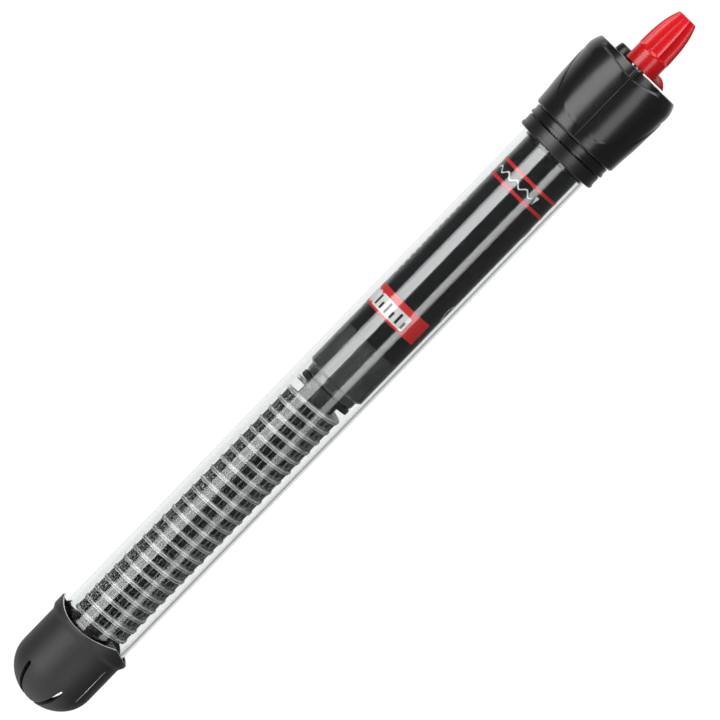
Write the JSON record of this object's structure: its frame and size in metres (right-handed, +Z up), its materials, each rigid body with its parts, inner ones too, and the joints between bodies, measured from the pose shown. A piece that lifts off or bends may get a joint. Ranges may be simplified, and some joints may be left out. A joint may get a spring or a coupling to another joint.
{
  "type": "aquarium heater",
  "caption": "Glass-tube submersible aquarium heater with slotted end cap, ribbed heating element, dark thermostat sleeve and barrel head with fluted adjusting knob.",
  "frame": {"origin": "on the tube's axis, halfway along the straight glass wall between end cap and head", "axes": "+Z up along the tube, from the end cap to the adjusting knob; -Y is the front, where the water-level marks face; +X to its right"},
  "size_m": [0.0334, 0.0316, 0.2916],
  "materials": {
    "borosilicate_glass": "clear drawn tube",
    "cap_plastic": "fine matt moulded",
    "head_plastic": "satin moulded",
    "knob_plastic": "glossy moulded",
    "black_rubber": "smooth moulded rubber",
    "ceramic": "unglazed steatite",
    "dark_ceramic": "smoked steatite",
    "resistance_wire": "drawn wire",
    "steel": "zinc plated",
    "bimetal": "rolled strip",
    "brass": "turned",
    "silver": "polished",
    "sleeve_film": "smooth dark film",
    "grey_holder": "smoky moulded",
    "red_window": "clear red",
    "lamp_glass": "clear",
    "resistor_body": "lacquered",
    "capacitor_body": "dipped",
    "wire_red": "silicone sleeved",
    "wire_white": "silicone sleeved",
    "magnet_grey": "sintered",
    "ceramic_wool": "soft felted wool"
  },
  "bodies": {
    "heater_body": {"glass_tube": "borosilicate_glass", "bottom_cushion": "ceramic_wool", "element_lower_disc": "ceramic", "element_core": "dark_ceramic", "element_flight": "ceramic", "heating_coil": "resistance_wire", "element_upper_disc": "dark_ceramic", "centre_rod": "steel", "rod_nuts": "steel", "neck_plug": "grey_holder", "holder_cup": "grey_holder", "light_sleeve": "sleeve_film", "lamp_window": "red_window", "thermostat_frame": "steel", "anchor_block": "ceramic", "anchor_plate": "steel", "fixed_contact": "silver", "contact_bracket": "brass", "contact_block": "ceramic", "snap_magnet": "magnet_grey", "frame_rivets": "brass", "terminal_screws": "brass", "pilot_lamp": "lamp_glass", "lamp_resistor": "resistor_body", "suppression_capacitor": "capacitor_body", "live_wire": "wire_red", "neutral_wire": "wire_white", "element_lead": "wire_white", "return_lead": "resistance_wire", "crimp_sleeves": "brass", "glass_stopper": "black_rubber", "neck_seal_ring": "black_rubber", "neck_lock_ring": "head_plastic", "head_core": "head_plastic", "head_cover": "head_plastic", "cord_grommet": "black_rubber", "spindle_oring": "black_rubber"},
    "knob_set": {"adjusting_knob": "knob_plastic", "knob_spindle": "steel", "spindle_clip": "steel", "drive_coupling": "brass", "adjusting_screw": "steel"},
    "feed_nut": {"travelling_nut": "brass", "push_bead": "ceramic"},
    "contact_arm": {"bimetal_arm": "bimetal", "moving_contact": "silver"},
    "end_guard": {"end_cap": "cap_plastic"}
  },
  "joints": [
    {"name": "knob_turn", "type": "hinge", "parent": "heater_body", "child": "knob_set", "pos_m": [0, 0, 0.1379], "axis": [0, 0, 1], "range_deg": [-221.4, 81]},
    {"name": "nut_feed", "type": "slide", "parent": "heater_body", "child": "feed_nut", "axis": [0, 0, 1], "range_m": [-0.000225, 0.000615]},
    {"name": "arm_flex", "type": "hinge", "parent": "heater_body", "child": "contact_arm", "pos_m": [0, -0.0029, 0.0333], "axis": [1, 0, 0], "range_deg": [0, 2.5], "stiffness_Nm_per_rad": 0.05},
    {"name": "end_cap_pull", "type": "slide", "parent": "heater_body", "child": "end_guard", "axis": [0, 0, -1], "range_m": [0, 0.045]}
  ],
  "couplings": [
    {"joint": "knob_turn", "follows": "nut_feed", "rad_per_m": -6283.2}
  ]
}
